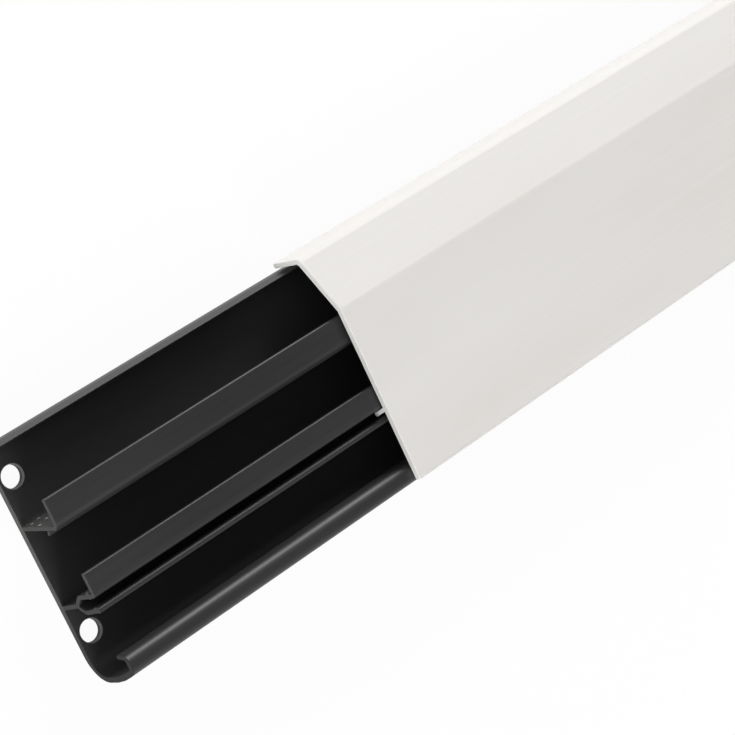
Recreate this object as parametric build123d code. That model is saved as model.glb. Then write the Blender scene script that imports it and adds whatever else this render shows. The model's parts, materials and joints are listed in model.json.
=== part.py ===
from build123d import *
from math import cos, radians, tan
import os

# A cord cover raceway: an extruded base channel that is screwed to a wall, and a cover that snaps onto it.
# X runs along the length, Y across the raceway towards the cover's lip, and Z away from the wall.
# The raceway lies on its back, with its origin at the middle of the back face. Sizes are in millimetres.

# The whole raceway
stock_length = 1000.0
overall_width = 55.0
overall_depth = 20.0
cover_setback = 77.0

# Cover
cover_wall = 1.5
cover_lip_wall = 1.15
cover_lip_end = 3.4
cover_bottom_setback = 2.5
slope_width = 12.3
slope_angle = 28.6
lip_bend_radius = 2.0
lip_bend_inner_radius = 1.1
slope_bend_radius = 1.65
rib_thickness = 0.9
rib_length = 3.3
rib_root_offset = 0.5
bulb_radius = 0.55

# Clearances between the base and the cover
lip_clearance = 0.7
front_clearance = 0.25
upper_flange_clearance = 1.55
lower_flange_clearance = 0.7
groove_lip_clearance = 1.65
rib_clearance_above = 0.35
rib_clearance_below = 0.9

# Base: back plate and top wall
plate_thickness = 1.7
top_wall_thickness = 0.85
top_wall_height = 7.2
rim_width = 0.25
rim_taper = 2.4
rim_taper_radius = 3.0
top_inner_radius = 1.3

# Base: rolled bottom lip
lip_thickness = 1.3
lip_front_thickness = 1.6
lip_width = 6.6
bottom_inner_radius = 3.9
bottom_lean = 20.0
lean_rise = 7.25
lean_straight = 0.27
lip_flange_inner_radius = 0.7
hook_thickness = 0.95
hook_radius = 1.9
hook_inner_radius = 0.7
hook_length = 4.35

# Base: upper divider
flange_thickness = 1.15
upper_leg_thickness = 0.9
upper_leg_inset = 20.125
upper_flange_width = 6.775
divider_corner_radius = 2.2
divider_inner_radius = 0.9
nib_root_drop = 4.6
nib_tip_drop = 5.4
nib_thickness = 0.55
nib_reach = 1.15

# Base: lower divider with its snap groove
groove_inset = 17.9
groove_depth = 6.5
groove_width = 2.4
groove_lean = 1.0
lower_leg_thickness = 0.95
leg_top_offset = 0.32
leg_top_drop = 3.5
leg_foot_offset = 1.05
groove_wall = 0.95
groove_shoulder_drop = 1.4
groove_shoulder_radius = 2.2
groove_back_offset = 0.4
groove_back_drop = 4.0
groove_back_radius = 0.75
groove_bead_thickness = 1.3
groove_bead_length = 2.45
lower_flange_width = 5.34
lower_flange_overhang = 0.292
flange_root_radius = 0.9
nub_drop = 2.75
nub_thickness = 1.5
nub_reach = 0.52

# Base: screw holes in pairs
hole_diameter = 4.8
hole_edge_inset = 10.0
hole_end_inset = 3.2
hole_pairs = 5

# A wall's free edge is rounded by this share of its thickness, and a flange's by a radius of its own
edge_rounding = 0.45
flange_edge_radius = 0.35

# Places that the base and the cover share
top_edge = overall_width / 2
bottom_edge = -overall_width / 2
slope_edge = top_edge - slope_width
cover_inner_face = overall_depth - cover_wall
cover_lip_face = top_edge - cover_lip_wall
groove_y = bottom_edge + groove_inset
groove_height = cover_inner_face - groove_depth
bulb_height = cover_inner_face - rib_length


def outline(rows):
    """A closed cross-section from rows of y, z and corner radius."""
    corners = [(y, z) for y, z, radius in rows]
    radii = [radius for y, z, radius in rows]
    return make_face(FilletPolyline(*corners, radius=radii, close=True))


def sheet(corners, radii, thickness):
    """A bent sheet's cross-section about its middle line, with rounded ends."""
    middle = FilletPolyline(*corners, radius=radii)
    return make_face(offset(middle, amount=thickness / 2, side=Side.BOTH))


def bar(start, end, thickness):
    """A straight wall's cross-section about its middle line, with rounded ends."""
    return make_face(offset(Line(start, end), amount=thickness / 2, side=Side.BOTH))


def on_line(first, second, height):
    """Y at a height on the straight line through two points."""
    share = (height - first[1]) / (second[1] - first[1])
    return first[0] + share * (second[0] - first[0])


def groove_middle(height):
    """Y of the snap groove's middle line, which leans as it nears the cover."""
    return on_line((groove_y, groove_height), (groove_y + groove_lean, cover_inner_face), height)


def base_shell():
    """Top wall, back plate and rolled bottom lip."""
    top_y = cover_lip_face - lip_clearance
    top_inner_y = top_y - top_wall_thickness
    inner_y = bottom_edge + lip_thickness
    front_face = cover_inner_face - front_clearance
    front_inner_face = front_face - lip_front_thickness
    lean_tan = tan(radians(bottom_lean))
    lean_half_tan = tan(radians(bottom_lean / 2))
    lean_height = front_face - lean_rise
    inner_lean_height = lean_height - lip_thickness * lean_half_tan
    lean_top_y = bottom_edge + lean_rise * lean_tan
    inner_lean_top_y = inner_y + (front_inner_face - inner_lean_height) * lean_tan
    hook_y = bottom_edge + lip_width
    hook_inner_y = hook_y - hook_thickness
    hook_end = front_face - hook_length
    bottom_radius = bottom_inner_radius + plate_thickness
    flange_radius = lip_flange_inner_radius + lip_thickness
    flange_turn = flange_radius * tan(radians(90 - bottom_lean) / 2)
    lean_room = min(lean_height - bottom_radius, lean_rise / cos(radians(bottom_lean)) - flange_turn)
    lean_radius = (lean_room - lean_straight) / lean_half_tan
    rim_rounding = edge_rounding * rim_width
    hook_rounding = edge_rounding * hook_thickness
    return outline(
        [
            (top_inner_y + rim_width, top_wall_height, rim_rounding),
            (top_y, top_wall_height - rim_taper, rim_taper_radius),
            (top_y, 0, top_inner_radius + plate_thickness),
            (bottom_edge, 0, bottom_radius),
            (bottom_edge, lean_height, lean_radius),
            (lean_top_y, front_face, flange_radius),
            (hook_y, front_face, hook_radius),
            (hook_y, hook_end, hook_rounding),
            (hook_inner_y, hook_end, hook_rounding),
            (hook_inner_y, front_inner_face, hook_inner_radius),
            (inner_lean_top_y, front_inner_face, lip_flange_inner_radius),
            (inner_y, inner_lean_height, lean_radius - lip_thickness),
            (inner_y, plate_thickness, bottom_inner_radius),
            (top_inner_y, plate_thickness, top_inner_radius),
            (top_inner_y, top_wall_height, rim_rounding),
        ]
    )


def upper_divider():
    """Leg with a flange turned towards the top wall, and a nib under the leg."""
    leg_y = top_edge - upper_leg_inset
    low_y = leg_y - upper_leg_thickness / 2
    high_y = leg_y + upper_leg_thickness / 2
    foot_z = plate_thickness / 2
    flange_tip = low_y + upper_flange_width
    flange_face = cover_inner_face - upper_flange_clearance
    flange_inner_face = flange_face - flange_thickness
    leg_and_flange = outline(
        [
            (low_y, foot_z, 0),
            (low_y, flange_face, divider_corner_radius),
            (flange_tip, flange_face, flange_edge_radius),
            (flange_tip, flange_inner_face, flange_edge_radius),
            (high_y, flange_inner_face, divider_inner_radius),
            (high_y, foot_z, 0),
        ]
    )
    nib_root = (leg_y, flange_face - nib_root_drop)
    nib_tip = (low_y - nib_reach + nib_thickness / 2, flange_face - nib_tip_drop)
    return leg_and_flange + bar(nib_root, nib_tip, nib_thickness)


def lower_divider():
    """Leg that carries the snap groove, whose upper wall ends in a flange."""
    flange_face = cover_inner_face - lower_flange_clearance
    wall_z = flange_face - flange_thickness
    lip_end = cover_inner_face - groove_lip_clearance
    lip_z = lip_end - groove_wall / 2
    shoulder_z = groove_height - groove_shoulder_drop
    back = (groove_y - groove_back_offset, groove_height - groove_back_drop)
    beside_groove = (groove_width + groove_wall) / 2
    above_rib = rib_thickness / 2 + rib_clearance_above + groove_wall / 2
    below_rib = rib_thickness / 2 + rib_clearance_below + groove_wall / 2
    lip_tip = (groove_middle(lip_z) - below_rib, lip_z)
    wall_top = (groove_middle(wall_z) + above_rib, wall_z)
    groove = sheet(
        [
            lip_tip,
            (on_line((groove_y - beside_groove, groove_height), lip_tip, shoulder_z), shoulder_z),
            back,
            (on_line((groove_y + beside_groove, groove_height), wall_top, shoulder_z), shoulder_z),
            wall_top,
        ],
        [groove_shoulder_radius, groove_back_radius, groove_shoulder_radius],
        groove_wall,
    )
    bead_top = (lip_tip[0], lip_end - groove_bead_thickness / 2)
    bead_foot = (lip_tip[0], lip_end - groove_bead_length + groove_bead_thickness / 2)
    bead = bar(bead_foot, bead_top, groove_bead_thickness)
    leg_foot = (groove_y - leg_foot_offset, plate_thickness / 2)
    leg_top = (groove_y - leg_top_offset, groove_height - leg_top_drop)
    leg = bar(leg_foot, leg_top, lower_leg_thickness)
    flange_root = wall_top[0] - lower_flange_overhang
    flange_tip = flange_root + lower_flange_width
    flange = outline(
        [
            (flange_root, flange_face, flange_root_radius),
            (flange_tip, flange_face, flange_edge_radius),
            (flange_tip, wall_z, flange_edge_radius),
            (flange_root, wall_z, 0),
        ]
    )
    nub_z = flange_face - nub_drop
    nub_end = wall_top[0] + groove_wall / 2 + nub_reach - nub_thickness / 2
    nub = bar((wall_top[0], nub_z), (nub_end, nub_z), nub_thickness)
    return groove + bead + leg + flange + nub


def screw_holes():
    """Pairs of holes through the back plate, evenly spaced between the two ends."""
    pitch = (stock_length - 2 * hole_end_inset) / (hole_pairs - 1)
    row_spacing = overall_width - 2 * hole_edge_inset
    drill = Pos(0, 0, plate_thickness / 2) * Cylinder(hole_diameter / 2, plate_thickness + hole_diameter)
    return [place * drill for place in GridLocations(pitch, row_spacing, hole_pairs, 2)]


def base_channel():
    """The extruded base, with its screw holes."""
    section = base_shell() + upper_divider() + lower_divider()
    near_end = Plane.YZ.offset(-stock_length / 2)
    return extrude(near_end * section, amount=stock_length) - screw_holes()


def snap_cover():
    """The extruded cover: lip, slope and front, with the rib that snaps into the groove."""
    cover_bottom = bottom_edge + cover_bottom_setback
    bend_z = overall_depth - slope_width * tan(radians(slope_angle))
    slope_inner_edge = slope_edge - cover_wall * tan(radians(slope_angle) / 2)
    inner_bend_z = cover_inner_face - (cover_lip_face - slope_inner_edge) * tan(radians(slope_angle))
    lip_rounding = edge_rounding * cover_lip_wall
    end_rounding = edge_rounding * cover_wall
    shell = outline(
        [
            (top_edge, cover_lip_end, lip_rounding),
            (top_edge, bend_z, lip_bend_radius),
            (slope_edge, overall_depth, slope_bend_radius),
            (cover_bottom, overall_depth, end_rounding),
            (cover_bottom, cover_inner_face, end_rounding),
            (slope_inner_edge, cover_inner_face, slope_bend_radius - cover_wall),
            (cover_lip_face, inner_bend_z, lip_bend_inner_radius),
            (cover_lip_face, cover_lip_end, lip_rounding),
        ]
    )
    rib_root = overall_depth - cover_wall / 2
    bulb_middle = (groove_middle(bulb_height), bulb_height)
    rib_top = (groove_middle(rib_root) + rib_root_offset, rib_root)
    rib = bar(rib_top, bulb_middle, rib_thickness)
    bulb = Location(bulb_middle) * Circle(bulb_radius)
    cover_start = Plane.YZ.offset(cover_setback - stock_length / 2)
    return extrude(cover_start * (shell + rib + bulb), amount=stock_length - cover_setback)


os.makedirs("parts", exist_ok=True)
export_step(base_channel(), "parts/base_channel.step")
export_step(snap_cover(), "parts/snap_cover.step")
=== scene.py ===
import json
from cmath import phase, rect
from math import ceil, cos, pi, radians, sin, tan

import bpy
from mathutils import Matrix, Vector
from mathutils.geometry import delaunay_2d_cdt


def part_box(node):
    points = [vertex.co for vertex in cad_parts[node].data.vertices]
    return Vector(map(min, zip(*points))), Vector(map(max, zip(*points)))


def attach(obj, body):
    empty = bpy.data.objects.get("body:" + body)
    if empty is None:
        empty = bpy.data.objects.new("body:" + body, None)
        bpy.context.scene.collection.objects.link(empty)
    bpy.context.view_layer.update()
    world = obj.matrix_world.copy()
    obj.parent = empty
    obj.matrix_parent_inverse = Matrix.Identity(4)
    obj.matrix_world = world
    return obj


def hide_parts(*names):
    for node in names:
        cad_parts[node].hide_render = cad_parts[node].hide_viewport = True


# A cord cover raceway on a pale floor: a black base channel and the off-white cover that snaps onto it.
# Lengths are in metres. X runs along the raceway, Y across it to the cover's lip, and Z up from its back.
# A point of the cross-section is a complex number, y + z j.

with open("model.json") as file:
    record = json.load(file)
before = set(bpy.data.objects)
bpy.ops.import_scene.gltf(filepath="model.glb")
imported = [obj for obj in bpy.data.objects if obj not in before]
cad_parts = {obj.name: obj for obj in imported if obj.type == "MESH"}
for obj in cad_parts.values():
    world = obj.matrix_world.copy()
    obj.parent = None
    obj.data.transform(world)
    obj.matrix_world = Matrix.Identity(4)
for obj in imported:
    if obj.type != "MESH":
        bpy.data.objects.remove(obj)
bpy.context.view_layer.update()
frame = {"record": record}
base_low, base_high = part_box("base_channel")
cover_low, cover_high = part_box("snap_cover")

# Places that the frame gives
top_edge = cover_high.y
bottom_edge = base_low.y
overall_depth = cover_high.z

# Cover
cover_wall = 0.0015
cover_lip_wall = 0.00115
cover_lip_end = 0.0034
cover_bottom_setback = 0.0025
slope_width = 0.0123
slope_angle = radians(28.6)
lip_bend_radius = 0.002
lip_bend_inner_radius = 0.0011
slope_bend_radius = 0.00165
rib_thickness = 0.0009
rib_length = 0.0033
rib_root_offset = 0.0005
bulb_radius = 0.00055

# Clearances between the base and the cover
lip_clearance = 0.0007
front_clearance = 0.00025
upper_flange_clearance = 0.00155
lower_flange_clearance = 0.0007
groove_lip_clearance = 0.00165
rib_clearance_above = 0.00035
rib_clearance_below = 0.0009

# Base: back plate and top wall
plate_thickness = 0.0017
top_wall_thickness = 0.00085
top_wall_height = 0.0072
rim_width = 0.00025
rim_taper = 0.0024
rim_taper_radius = 0.003
top_inner_radius = 0.0013

# Base: rolled bottom lip
lip_thickness = 0.0013
lip_front_thickness = 0.0016
lip_width = 0.0066
bottom_inner_radius = 0.0039
bottom_lean = radians(20)
lean_rise = 0.00725
lean_straight = 0.00027
lip_flange_inner_radius = 0.0007
hook_thickness = 0.00095
hook_radius = 0.0019
hook_inner_radius = 0.0007
hook_length = 0.00435

# Base: upper divider
flange_thickness = 0.00115
upper_leg_thickness = 0.0009
upper_leg_inset = 0.020125
upper_flange_width = 0.006775
divider_corner_radius = 0.0022
divider_inner_radius = 0.0009
nib_root_drop = 0.0046
nib_tip_drop = 0.0054
nib_thickness = 0.00055
nib_reach = 0.00115

# Base: lower divider with its snap groove
groove_inset = 0.0179
groove_depth = 0.0065
groove_width = 0.0024
groove_lean = 0.001
lower_leg_thickness = 0.00095
leg_top_offset = 0.00032
leg_top_drop = 0.0035
leg_foot_offset = 0.00105
groove_wall = 0.00095
groove_shoulder_drop = 0.0014
groove_shoulder_radius = 0.0022
groove_back_offset = 0.0004
groove_back_drop = 0.004
groove_back_radius = 0.00075
groove_bead_thickness = 0.0013
groove_bead_length = 0.00245
lower_flange_width = 0.00534
lower_flange_overhang = 0.000292
flange_root_radius = 0.0009
nub_drop = 0.00275
nub_thickness = 0.0015
nub_reach = 0.00052

# Finish of the edges. The hole tool flares up to its shoulder, and is straight from there to its top.
edge_rounding = 0.45
flange_edge_radius = 0.00035
saw_chamfer = 0.00009
hole_rounding = 0.0003
hole_flare = radians(72)
hole_flare_steps = 4
hole_tool_shoulder = 1.2 * plate_thickness
hole_tool_top = 2 * plate_thickness

# Fineness of the meshes
arc_step = radians(8)
ring_spacing = 0.05
sharp_angle = radians(32)
merge_distance = 1e-8

# Places in a piece's list of materials
skin_place = 0
cut_place = 1
hole_place = 2

# Flecks of swarf on the upper divider: distance from the cut end, and height
swarf_flecks = [(0.00145, 0.00374), (0.00092, 0.00794), (0.00363, 0.00621), (0.00377, 0.0026)]
swarf_size = 0.0005
swarf_outer_size = 0.00065

# Saw dust on the upper divider: where it starts to thin out, and where it ends
dust_off_leg = (0.0004, 0.0007)
dust_height = (0.0145, 0.0155)
dust_from_cut = (0.002, 0.012)

# Wall of a punched hole: painted shade over its lower part, and the heights between which it turns from
# that shade to the paler torn face
painted_shade_to_tear_heights = (0.00105, 0.00135)
tear_raggedness = 0.0004

# Sawn end of the base: where painted shade dims it towards the rolled lip and above the back plate, and
# to what share, and how far its saw marks dim it
cut_painted_shade_across = (-0.019, -0.005)
cut_painted_shade_across_share = 0.33
cut_painted_shade_up = (0.0016, 0.0022)
cut_painted_shade_up_share = 0.53
cut_dimmest_mark = 0.7

# Patterns, in cycles a metre along X, Y and Z, and the ranges of their noise that count
die_lines_scale = (5, 2400, 2400)
mottling_scale = (14, 60, 60)
grain_scale = (3200, 5200, 5200)
fleck_scale = (1500, 1500, 1500)
tear_scale = (1600, 1600, 1600)
saw_lines_scale = (2500, 300, 4200)
noise_range = (0.35, 0.65)
dust_range = (0.35, 0.75)

# Colours, with the darker one of a pair first
black_skin_colours = (0.0255, 0.0258, 0.0258), (0.031, 0.0308, 0.0312)
# The base's sawn end is carried towards its darker colour by painted shade as well as by its saw marks
black_cut_colours = (0.003, 0.003, 0.003), (0.125, 0.1238, 0.1207)
# The hole wall's darker colour is painted shade; its paler one is the torn face near the rim
hole_painted_shade_and_tear_colours = (0.008, 0.008, 0.008), (0.185, 0.185, 0.182)
white_skin_colours = (0.715, 0.694, 0.668), (0.745, 0.726, 0.703)
white_cut_colours = (0.93, 0.916, 0.892), (0.97, 0.957, 0.934)
dust_colour = (0.085, 0.084, 0.08)
swarf_colour = (0.34, 0.335, 0.325)
floor_colour = (0.92, 0.92, 0.92)
white = (1, 1, 1)

# Roughness, with the smoother one of a pair first, and gloss
black_skin_roughness = (0.42, 0.52)
white_skin_roughness = (0.48, 0.58)
cut_roughness = (0.5, 0.68)
hole_wall_roughness = (0.55, 0.7)
floor_roughness = 0.9
black_cut_gloss = 0.15
floor_gloss = 0

# Depth of the relief
black_skin_relief = 0.00002
white_skin_relief = 0.000012
cut_relief = 0.00004
hole_wall_relief = 0.00005

# Floor
floor_reach = 8.0
floor_drop = 0.0001
floor_glow = 1
floor_glow_share = 0.94

# Light: a dome that is strongest towards the bare end
dome_strength = 0.437
end_strength = 0.903
end_way_x = -0.8

# Light: the dome's dim patch, which fades in between two cosines of the angle from its middle
dim_way = (0.52, -0.28, 0.81)
dim_edge = 0.55
dim_middle = 0.93

# Light: two lamps, with the way towards each
light_spread = radians(30)
key_strength = 2.42
key_way = (0.9, 1.5, 0.55)
fill_strength = 2.07
fill_way = (-0.4, -1.5, 1.15)

# Camera, with its sensor and lens in millimetres
sensor_width = 36
focal_length = 116.67
camera_place = (-0.6834, 0.1074, 0.425)
camera_turn = (radians(4.5908), radians(-34.4795), radians(-30.1694))

# Places that several outlines and materials share
cover_inner_face = overall_depth - cover_wall
cover_lip_face = top_edge - cover_lip_wall
upper_leg_y = top_edge - upper_leg_inset
groove_y = bottom_edge + groove_inset
groove_height = cover_inner_face - groove_depth


# Cross-sections

def unit(step):
    return step / abs(step)


def rounded_run(corners, radii, closed):
    """Points and directions along a line whose corners are rounded."""
    count = len(corners)
    run = []
    for index, (corner, radius) in enumerate(zip(corners, radii)):
        if not closed and index in (0, count - 1):
            end = corners[1] - corner if index == 0 else corner - corners[-2]
            run.append((corner, unit(end)))
            continue
        way_in = unit(corner - corners[index - 1])
        way_out = unit(corners[(index + 1) % count] - corner)
        if radius == 0:
            run.append((corner, way_in))
            continue
        turn = phase(way_out / way_in)
        start = corner - way_in * radius * tan(abs(turn) / 2)
        side = 1j if turn > 0 else -1j
        centre = start + way_in * side * radius
        steps = ceil(abs(turn) / arc_step)
        for step in range(steps + 1):
            swing = rect(1, turn * step / steps)
            run.append((centre + (start - centre) * swing, way_in * swing))
    return run


def outline(rows):
    """A closed outline from rows of y, z and corner radius."""
    corners = [complex(y, z) for y, z, radius in rows]
    radii = [radius for y, z, radius in rows]
    return [point for point, way in rounded_run(corners, radii, True)]


def round_end(point, way, radius):
    """The half circle round the end of a wall."""
    steps = ceil(pi / arc_step)
    return [point + way * rect(radius, pi * step / steps - pi / 2) for step in range(1, steps)]


def sheet(corners, radii, thickness):
    """A bent sheet's outline about its middle line, with rounded ends."""
    half = thickness / 2
    run = rounded_run([complex(*corner) for corner in corners], [0, *radii, 0], False)
    right = [point - way * 1j * half for point, way in run]
    left = [point + way * 1j * half for point, way in reversed(run)]
    (first, first_way), (last, last_way) = run[0], run[-1]
    return right + round_end(last, last_way, half) + left + round_end(first, -first_way, half)


def bar(start, end, thickness):
    """A straight wall's outline about its middle line, with rounded ends."""
    return sheet([start, end], [], thickness)


def circle(centre, radius):
    steps = ceil(2 * pi / arc_step)
    return [complex(*centre) + rect(radius, 2 * pi * step / steps) for step in range(steps)]


def joined(outlines):
    """The outer line round several outlines that overlap, turning to the left."""
    points, faces = [], []
    for line in outlines:
        area = sum((a.conjugate() * b).imag for a, b in zip(line, line[1:] + line[:1]))
        line = line if area > 0 else line[::-1]
        faces.append(list(range(len(points), len(points) + len(line))))
        points += [Vector((point.real, point.imag)) for point in line]
    inside_only = 1
    places, _, triangles, _, _, owners = delaunay_2d_cdt(points, [], faces, inside_only, merge_distance)
    sides = set()
    for triangle, owner in zip(triangles, owners):
        if owner:
            sides.update(zip(triangle, triangle[1:] + triangle[:1]))
    onward = {a: b for a, b in sides if (b, a) not in sides}
    loops = []
    while onward:
        first, after = onward.popitem()
        loop = [first]
        while after != first:
            loop.append(after)
            after = onward.pop(after)
        loops.append([complex(*places[index]) for index in loop])
    return max(loops, key=len)


def on_line(first, second, height):
    """Y at a height on the straight line through two points."""
    share = (height - first[1]) / (second[1] - first[1])
    return first[0] + share * (second[0] - first[0])


def groove_middle(height):
    """Y of the snap groove's middle line, which leans as it nears the cover."""
    return on_line((groove_y, groove_height), (groove_y + groove_lean, cover_inner_face), height)


def base_shell():
    """Top wall, back plate and rolled bottom lip."""
    top_y = cover_lip_face - lip_clearance
    top_inner_y = top_y - top_wall_thickness
    inner_y = bottom_edge + lip_thickness
    front_face = cover_inner_face - front_clearance
    front_inner_face = front_face - lip_front_thickness
    lean_half_tan = tan(bottom_lean / 2)
    lean_height = front_face - lean_rise
    inner_lean_height = lean_height - lip_thickness * lean_half_tan
    lean_top_y = bottom_edge + lean_rise * tan(bottom_lean)
    inner_lean_top_y = inner_y + (front_inner_face - inner_lean_height) * tan(bottom_lean)
    hook_y = bottom_edge + lip_width
    hook_inner_y = hook_y - hook_thickness
    hook_end = front_face - hook_length
    bottom_radius = bottom_inner_radius + plate_thickness
    flange_radius = lip_flange_inner_radius + lip_thickness
    flange_turn = flange_radius * tan((pi / 2 - bottom_lean) / 2)
    lean_room = min(lean_height - bottom_radius, lean_rise / cos(bottom_lean) - flange_turn)
    lean_radius = (lean_room - lean_straight) / lean_half_tan
    rim_rounding = edge_rounding * rim_width
    hook_rounding = edge_rounding * hook_thickness
    return outline(
        [
            (top_inner_y + rim_width, top_wall_height, rim_rounding),
            (top_y, top_wall_height - rim_taper, rim_taper_radius),
            (top_y, 0, top_inner_radius + plate_thickness),
            (bottom_edge, 0, bottom_radius),
            (bottom_edge, lean_height, lean_radius),
            (lean_top_y, front_face, flange_radius),
            (hook_y, front_face, hook_radius),
            (hook_y, hook_end, hook_rounding),
            (hook_inner_y, hook_end, hook_rounding),
            (hook_inner_y, front_inner_face, hook_inner_radius),
            (inner_lean_top_y, front_inner_face, lip_flange_inner_radius),
            (inner_y, inner_lean_height, lean_radius - lip_thickness),
            (inner_y, plate_thickness, bottom_inner_radius),
            (top_inner_y, plate_thickness, top_inner_radius),
            (top_inner_y, top_wall_height, rim_rounding),
        ]
    )


def upper_divider():
    """Leg with a flange turned towards the top wall, and a nib on the leg's other side."""
    low_y = upper_leg_y - upper_leg_thickness / 2
    high_y = upper_leg_y + upper_leg_thickness / 2
    foot_z = plate_thickness / 2
    flange_tip = low_y + upper_flange_width
    flange_face = cover_inner_face - upper_flange_clearance
    flange_inner_face = flange_face - flange_thickness
    leg_and_flange = outline(
        [
            (low_y, foot_z, 0),
            (low_y, flange_face, divider_corner_radius),
            (flange_tip, flange_face, flange_edge_radius),
            (flange_tip, flange_inner_face, flange_edge_radius),
            (high_y, flange_inner_face, divider_inner_radius),
            (high_y, foot_z, 0),
        ]
    )
    nib_root = (upper_leg_y, flange_face - nib_root_drop)
    nib_tip = (low_y - nib_reach + nib_thickness / 2, flange_face - nib_tip_drop)
    return [leg_and_flange, bar(nib_root, nib_tip, nib_thickness)]


def lower_divider():
    """Leg that carries the snap groove, whose upper wall ends in a flange."""
    flange_face = cover_inner_face - lower_flange_clearance
    wall_z = flange_face - flange_thickness
    lip_end = cover_inner_face - groove_lip_clearance
    lip_z = lip_end - groove_wall / 2
    shoulder_z = groove_height - groove_shoulder_drop
    back = (groove_y - groove_back_offset, groove_height - groove_back_drop)
    beside_groove = (groove_width + groove_wall) / 2
    above_rib = rib_thickness / 2 + rib_clearance_above + groove_wall / 2
    below_rib = rib_thickness / 2 + rib_clearance_below + groove_wall / 2
    lip_tip = (groove_middle(lip_z) - below_rib, lip_z)
    wall_top = (groove_middle(wall_z) + above_rib, wall_z)
    groove = sheet(
        [
            lip_tip,
            (on_line((groove_y - beside_groove, groove_height), lip_tip, shoulder_z), shoulder_z),
            back,
            (on_line((groove_y + beside_groove, groove_height), wall_top, shoulder_z), shoulder_z),
            wall_top,
        ],
        [groove_shoulder_radius, groove_back_radius, groove_shoulder_radius],
        groove_wall,
    )
    bead_top = (lip_tip[0], lip_end - groove_bead_thickness / 2)
    bead_foot = (lip_tip[0], lip_end - groove_bead_length + groove_bead_thickness / 2)
    bead = bar(bead_foot, bead_top, groove_bead_thickness)
    leg_foot = (groove_y - leg_foot_offset, plate_thickness / 2)
    leg_top = (groove_y - leg_top_offset, groove_height - leg_top_drop)
    leg = bar(leg_foot, leg_top, lower_leg_thickness)
    flange_root = wall_top[0] - lower_flange_overhang
    flange_tip = flange_root + lower_flange_width
    flange = outline(
        [
            (flange_root, flange_face, flange_root_radius),
            (flange_tip, flange_face, flange_edge_radius),
            (flange_tip, wall_z, flange_edge_radius),
            (flange_root, wall_z, 0),
        ]
    )
    nub_z = flange_face - nub_drop
    nub_end = wall_top[0] + groove_wall / 2 + nub_reach - nub_thickness / 2
    nub = bar((wall_top[0], nub_z), (nub_end, nub_z), nub_thickness)
    return [groove, bead, leg, flange, nub]


def cover_outlines():
    """Lip, slope and front, with the rib and bulb that snap into the groove."""
    cover_bottom = bottom_edge + cover_bottom_setback
    slope_edge = top_edge - slope_width
    bend_z = overall_depth - slope_width * tan(slope_angle)
    slope_inner_edge = slope_edge - cover_wall * tan(slope_angle / 2)
    inner_bend_z = cover_inner_face - (cover_lip_face - slope_inner_edge) * tan(slope_angle)
    lip_rounding = edge_rounding * cover_lip_wall
    end_rounding = edge_rounding * cover_wall
    shell = outline(
        [
            (top_edge, cover_lip_end, lip_rounding),
            (top_edge, bend_z, lip_bend_radius),
            (slope_edge, overall_depth, slope_bend_radius),
            (cover_bottom, overall_depth, end_rounding),
            (cover_bottom, cover_inner_face, end_rounding),
            (slope_inner_edge, cover_inner_face, slope_bend_radius - cover_wall),
            (cover_lip_face, inner_bend_z, lip_bend_inner_radius),
            (cover_lip_face, cover_lip_end, lip_rounding),
        ]
    )
    rib_root = overall_depth - cover_wall / 2
    bulb_height = cover_inner_face - rib_length
    bulb_middle = (groove_middle(bulb_height), bulb_height)
    rib_top = (groove_middle(rib_root) + rib_root_offset, rib_root)
    rib = bar(rib_top, bulb_middle, rib_thickness)
    return [shell, rib, circle(bulb_middle, bulb_radius)]


# Meshes, each as its vertices, its faces and the faces' places in the list of materials

def extruded(section, start, end):
    """A section drawn from start to end, with its saw-cut edges broken."""
    corners = list(zip(section[-1:] + section[:-1], section, section[1:] + section[:1]))
    mitres = []
    for before, point, after in corners:
        way_in, way_out = unit(point - before), unit(after - point)
        mitres.append(-1j * (way_in + way_out) / (1 + (way_in.conjugate() * way_out).real))
    runs = ceil((end - start - 2 * saw_chamfer) / ring_spacing)
    pitch = (end - start - 2 * saw_chamfer) / runs
    middle = [(start + saw_chamfer + pitch * step, 0) for step in range(runs + 1)]
    rings = [(start, saw_chamfer), *middle, (end, saw_chamfer)]
    count = len(section)
    vertices = []
    for x, inset in rings:
        for point, mitre in zip(section, mitres):
            place = point - mitre * inset
            vertices.append((x, place.real, place.imag))
    faces = [list(range(count))[::-1]]
    places = [cut_place]
    for ring in range(len(rings) - 1):
        at_saw_cut = ring in (0, len(rings) - 2)
        near, far = ring * count, (ring + 1) * count
        for index in range(count):
            after = (index + 1) % count
            faces.append([near + index, near + after, far + after, far + index])
            places.append(cut_place if at_saw_cut else skin_place)
    faces.append([(len(rings) - 1) * count + index for index in range(count)])
    places.append(cut_place)
    return vertices, faces, places


def hole_tools(middles, radius):
    """One round tool for each hole, which flares at the plate's upper face to round the hole's rim."""
    steps = ceil(2 * pi / arc_step)
    profile = [(radius, -plate_thickness)]
    for step in range(hole_flare_steps + 1):
        swing = hole_flare * step / hole_flare_steps
        reach = radius + hole_rounding * (1 - cos(swing))
        profile.append((reach, plate_thickness - hole_rounding * (1 - sin(swing))))
    widest = profile[-1][0] + hole_rounding / 2
    profile += [(widest, hole_tool_shoulder), (widest, hole_tool_top)]
    vertices, faces = [], []
    for x, y in middles:
        first = len(vertices)
        for reach, z in profile:
            for step in range(steps):
                swing = 2 * pi * step / steps
                vertices.append((x + reach * cos(swing), y + reach * sin(swing), z))
        faces.append([first + step for step in range(steps)][::-1])
        for level in range(len(profile) - 1):
            low, high = first + level * steps, first + (level + 1) * steps
            for step in range(steps):
                after = (step + 1) % steps
                faces.append([low + step, low + after, high + after, high + step])
        faces.append([first + (len(profile) - 1) * steps + step for step in range(steps)])
    return vertices, faces, [hole_place] * len(faces)


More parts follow.
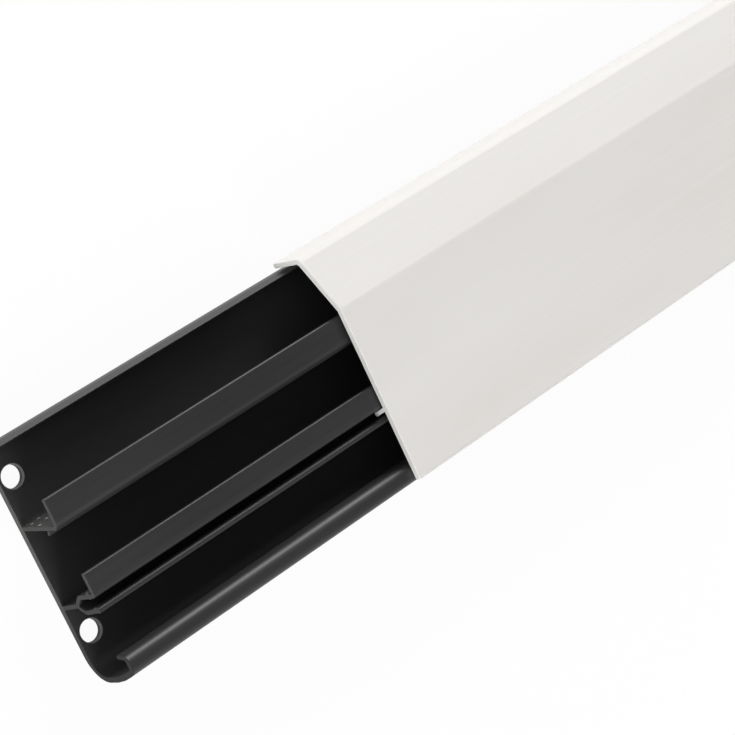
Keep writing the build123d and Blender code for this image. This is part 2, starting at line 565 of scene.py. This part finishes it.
def screw_holes():
    """Middle of each screw hole, and the holes' radius, from the record's bolt patterns."""
    mm_in_metre = 1000
    middles = []
    for mount in frame["record"]["mounts"]:
        if mount["kind"] != "bolt_pattern":
            continue
        dims = mount["dims"]
        half_x = dims.get("spacing_x_mm", 0) / mm_in_metre / 2
        half_y = dims["spacing_y_mm"] / mm_in_metre / 2
        radius = dims["hole_r_mm"] / mm_in_metre
        middles += [(x, y) for x in sorted({-half_x, half_x}) for y in (-half_y, half_y)]
    return middles, radius


def placed(name, data):
    """A new object in the scene."""
    body = bpy.data.objects.new(name, data)
    bpy.context.collection.objects.link(body)
    return body


def piece(name, vertices, faces, places, materials):
    """A mesh object whose faces have their materials."""
    mesh = bpy.data.meshes.new(name)
    mesh.from_pydata(vertices, [], faces)
    for material in materials:
        mesh.materials.append(material)
    mesh.polygons.foreach_set("material_index", places)
    mesh.validate()
    return placed(name, mesh)


def drill(body, tool):
    """Cuts the tool out of the body's mesh, and removes the tool."""
    cut = body.modifiers.new("holes", "BOOLEAN")
    cut.operation = "DIFFERENCE"
    cut.solver = "EXACT"
    cut.object = tool
    graph = bpy.context.evaluated_depsgraph_get()
    mesh = bpy.data.meshes.new_from_object(body.evaluated_get(graph), depsgraph=graph)
    body.modifiers.clear()
    old = body.data
    body.data = mesh
    mesh.name = body.name
    bpy.data.meshes.remove(old)
    bpy.data.objects.remove(tool)


def smooth(body):
    """Smooths the faces, with normals that follow the large ones, and keeps the corners sharp."""
    body.data.shade_smooth()
    body.data.set_sharp_from_angle(angle=sharp_angle)
    weighted = body.modifiers.new("even_faces", "WEIGHTED_NORMAL")
    weighted.keep_sharp = True


# Materials

class Nodes:
    """Short calls that add nodes to a tree. A source is a node's output or a plain value."""

    def __init__(self, tree, coordinates):
        self.tree = tree
        self.place = self.add("ShaderNodeTexCoord").outputs[coordinates]

    def add(self, kind, **settings):
        node = self.tree.nodes.new(kind)
        for key, value in settings.items():
            setattr(node, key, value)
        return node

    def give(self, source, target):
        """Joins an output to an input, or sets a plain value on it."""
        if isinstance(source, bpy.types.NodeSocket):
            self.tree.links.new(source, target)
        elif target.type == "RGBA":
            target.default_value = (*source, 1)
        else:
            target.default_value = source

    def noise(self, scale, detail, roughness=0.5):
        """Noise with a scale for each axis, in cycles a metre."""
        stretch = self.add("ShaderNodeMapping")
        self.give(scale, stretch.inputs["Scale"])
        self.give(self.place, stretch.inputs["Vector"])
        noise = self.add("ShaderNodeTexNoise")
        self.give(1, noise.inputs["Scale"])
        self.give(detail, noise.inputs["Detail"])
        self.give(roughness, noise.inputs["Roughness"])
        self.give(stretch.outputs["Vector"], noise.inputs["Vector"])
        return noise.outputs["Fac"]

    def ranged(self, value, low, high, to_low, to_high, curve="LINEAR"):
        """A value carried from one range to another, and held to its ends."""
        node = self.add("ShaderNodeMapRange", interpolation_type=curve)
        self.give(value, node.inputs["Value"])
        self.give(low, node.inputs["From Min"])
        self.give(high, node.inputs["From Max"])
        self.give(to_low, node.inputs["To Min"])
        self.give(to_high, node.inputs["To Max"])
        return node.outputs["Result"]

    def math(self, operation, *sources):
        node = self.add("ShaderNodeMath", operation=operation)
        for source, target in zip(sources, node.inputs):
            self.give(source, target)
        return node.outputs["Value"]

    def product(self, first, *others):
        for other in others:
            first = self.math("MULTIPLY", first, other)
        return first

    def weighed(self, first, second, share):
        """The sum of two values, of which the first has the given share."""
        return self.math("ADD", self.product(first, share), self.product(second, 1 - share))

    def mixed(self, share, first, second):
        """A colour between two others."""
        node = self.add("ShaderNodeMix", data_type="RGBA")
        self.give(share, node.inputs["Factor"])
        colours = [socket for socket in node.inputs if socket.type == "RGBA"]
        for source, target in zip((first, second), colours):
            self.give(source, target)
        return next(socket for socket in node.outputs if socket.type == "RGBA")

    def along(self, axis):
        """The place along one axis."""
        split = self.add("ShaderNodeSeparateXYZ")
        self.give(self.place, split.inputs["Vector"])
        return split.outputs[axis]

    def measured(self, operation, vector):
        """One number, such as a distance, from the place and a fixed vector."""
        node = self.add("ShaderNodeVectorMath", operation=operation)
        self.give(self.place, node.inputs[0])
        self.give(vector, node.inputs[1])
        return node.outputs["Value"]


class Surface(Nodes):
    """A new material, with its patterns laid out along the object's own axes."""

    def __init__(self, name):
        self.material = bpy.data.materials.new(name)
        self.material.use_nodes = True
        self.material.node_tree.nodes.clear()
        super().__init__(self.material.node_tree, "Object")
        self.output = self.add("ShaderNodeOutputMaterial")
        self.shader = self.add("ShaderNodeBsdfPrincipled")
        self.give(self.shader.outputs["BSDF"], self.output.inputs["Surface"])

    def shade(self, name, source):
        """Gives the shader one of its inputs."""
        self.give(source, self.shader.inputs[name])

    def bump(self, height, depth):
        node = self.add("ShaderNodeBump")
        self.give(depth, node.inputs["Distance"])
        self.give(height, node.inputs["Height"])
        self.shade("Normal", node.outputs["Normal"])


def skin(surface, colours, roughness, relief):
    """Extruded vinyl: fine die lines along X, broad mottling and a fine grain. Returns its colour."""
    die_lines = surface.noise(die_lines_scale, detail=3)
    mottling = surface.noise(mottling_scale, detail=2)
    grain = surface.noise(grain_scale, detail=2)
    tone = surface.weighed(die_lines, mottling, share=0.5)
    surface.shade("Roughness", surface.ranged(tone, *noise_range, *roughness))
    surface.bump(surface.weighed(die_lines, grain, share=0.6), relief)
    return surface.mixed(surface.ranged(tone, *noise_range, 0, 1), *colours)


def black_skin():
    """Satin black vinyl, with saw dust and flecks of swarf on the upper divider's leg by the cut end."""
    surface = Surface("black_vinyl")
    colour = skin(surface, black_skin_colours, black_skin_roughness, black_skin_relief)
    leg_face = upper_leg_y + upper_leg_thickness / 2
    off_leg = surface.math("ABSOLUTE", surface.math("SUBTRACT", surface.along("Y"), leg_face))
    from_cut = surface.math("SUBTRACT", surface.along("X"), base_low.x)
    on_leg = surface.ranged(off_leg, *dust_off_leg, 1, 0)
    below_flange = surface.ranged(surface.along("Z"), *dust_height, 1, 0)
    near_cut = surface.ranged(from_cut, *dust_from_cut, 1, 0)
    grains = surface.noise(fleck_scale, detail=4, roughness=0.7)
    thick = surface.ranged(grains, *dust_range, 0, 1)
    dust = surface.product(on_leg, below_flange, near_cut, thick)
    dusted = surface.mixed(dust, colour, dust_colour)
    places = [(base_low.x + from_end, leg_face, height) for from_end, height in swarf_flecks]
    nearest, *others = [surface.measured("DISTANCE", place) for place in places]
    for distance in others:
        nearest = surface.math("MINIMUM", nearest, distance)
    ragged = surface.math("ADD", nearest, surface.product(grains, swarf_size))
    fleck = surface.ranged(ragged, swarf_size, swarf_outer_size, 1, 0)
    surface.shade("Base Color", surface.mixed(fleck, dusted, swarf_colour))
    return surface.material


def hole_wall():
    """The wall of a punched hole: dark with painted shade over its lower part, pale and torn near the
    rim.
    """
    surface = Surface("black_vinyl_hole")
    tear = surface.noise(tear_scale, detail=3, roughness=0.6)
    # painted shade: the wall is dark below the torn band near the rim
    height = surface.math("ADD", surface.along("Z"), surface.product(tear, tear_raggedness))
    torn = surface.ranged(height, *painted_shade_to_tear_heights, 0, 1)
    surface.shade("Base Color", surface.mixed(torn, *hole_painted_shade_and_tear_colours))
    surface.shade("Roughness", surface.ranged(tear, *noise_range, *hole_wall_roughness))
    surface.bump(tear, hole_wall_relief)
    return surface.material


def white_skin():
    """Satin off-white vinyl."""
    surface = Surface("off_white_vinyl")
    colour = skin(surface, white_skin_colours, white_skin_roughness, white_skin_relief)
    surface.shade("Base Color", colour)
    return surface.material


def saw_cut(surface):
    """The relief of a sawn face, with saw lines across it. Returns how pale it is from place to place."""
    lines = surface.noise(saw_lines_scale, detail=3, roughness=0.6)
    flecks = surface.noise(fleck_scale, detail=3)
    tone = surface.weighed(lines, flecks, share=0.6)
    surface.shade("Roughness", surface.ranged(tone, *noise_range, *cut_roughness))
    surface.bump(tone, cut_relief)
    return surface.ranged(tone, *noise_range, 0, 1)


def black_cut():
    """The base's sawn end, with saw marks and painted shade: palest on the back plate, and dimmer above
    it and towards the rolled lip.
    """
    surface = Surface("black_vinyl_cut")
    surface.shade("Specular IOR Level", black_cut_gloss)
    marks = surface.ranged(saw_cut(surface), 0, 1, cut_dimmest_mark, 1)
    # painted shade, darkening the sawn end towards the rolled lip and above the back plate
    across = surface.ranged(surface.along("Y"), *cut_painted_shade_across, cut_painted_shade_across_share, 1)
    up = surface.ranged(surface.along("Z"), *cut_painted_shade_up, 1, cut_painted_shade_up_share)
    pale = surface.product(across, up, marks)
    surface.shade("Base Color", surface.mixed(pale, *black_cut_colours))
    return surface.material


def white_cut():
    """The cover's sawn end."""
    surface = Surface("off_white_vinyl_cut")
    surface.shade("Base Color", surface.mixed(saw_cut(surface), *white_cut_colours))
    return surface.material


def floor_white():
    """White to the eye and in reflections, with the raceway's shadow kept."""
    surface = Surface("floor_white")
    surface.shade("Base Color", floor_colour)
    surface.shade("Roughness", floor_roughness)
    surface.shade("Specular IOR Level", floor_gloss)
    glow = surface.add("ShaderNodeEmission")
    surface.give(white, glow.inputs["Color"])
    surface.give(floor_glow, glow.inputs["Strength"])
    rays = surface.add("ShaderNodeLightPath").outputs
    seen = surface.math("MAXIMUM", rays["Is Camera Ray"], rays["Is Glossy Ray"])
    seen = surface.math("MAXIMUM", seen, rays["Is Transmission Ray"])
    blend = surface.add("ShaderNodeMixShader")
    surface.give(surface.product(seen, floor_glow_share), blend.inputs["Fac"])
    surface.give(surface.shader.outputs["BSDF"], blend.inputs[1])
    surface.give(glow.outputs["Emission"], blend.inputs[2])
    surface.give(blend.outputs["Shader"], surface.output.inputs["Surface"])
    return surface.material


# Light

def studio_world():
    """A pale dome, brightest towards the bare end, with one dim patch overhead."""
    world = bpy.data.worlds.new("studio")
    world.use_nodes = True
    nodes = Nodes(world.node_tree, "Generated")
    towards_patch = nodes.measured("DOT_PRODUCT", Vector(dim_way).normalized())
    patch = nodes.ranged(towards_patch, dim_edge, dim_middle, 1, 0, "SMOOTHSTEP")
    dome = nodes.ranged(nodes.along("X"), end_way_x, 0, end_strength, dome_strength, "SMOOTHSTEP")
    background = world.node_tree.nodes["Background"]
    nodes.give(white, background.inputs["Color"])
    nodes.give(nodes.product(patch, dome), background.inputs["Strength"])
    return world


def soft_light(name, strength, way):
    """A broad light from one side, as strong at one end of the raceway as at the other."""
    data = bpy.data.lights.new(name, "SUN")
    data.energy = strength
    data.angle = light_spread
    lamp = placed(name, data)
    lamp.rotation_euler = Vector(way).to_track_quat("Z", "Y").to_euler()


# Base channel
base_section = joined([base_shell(), *upper_divider(), *lower_divider()])
base_materials = [black_skin(), black_cut(), hole_wall()]
base = piece("base_channel_body", *extruded(base_section, base_low.x, base_high.x), base_materials)
drill(base, piece("hole_tool", *hole_tools(*screw_holes()), base_materials))
smooth(base)
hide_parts("base_channel")
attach(base, "root")

# Cover
cover_section = joined(cover_outlines())
cover_materials = [white_skin(), white_cut()]
cover = piece("snap_cover_body", *extruded(cover_section, cover_low.x, cover_high.x), cover_materials)
smooth(cover)
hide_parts("snap_cover")
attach(cover, "root")

# Floor, light and camera
floor_corners = [(-1, -1), (1, -1), (1, 1), (-1, 1)]
floor_vertices = [(x * floor_reach, y * floor_reach, base_low.z - floor_drop) for x, y in floor_corners]
floor = piece("floor", floor_vertices, [[0, 1, 2, 3]], [skin_place], [floor_white()])
bpy.context.scene.world = studio_world()
soft_light("key", key_strength, key_way)
soft_light("fill", fill_strength, fill_way)
camera_data = bpy.data.cameras.new("camera")
camera_data.sensor_width = sensor_width
camera_data.lens = focal_length
camera = placed("camera", camera_data)
camera.location = camera_place
camera.rotation_euler = camera_turn
bpy.context.scene.camera = camera
bpy.context.scene.view_settings.view_transform = "Standard"
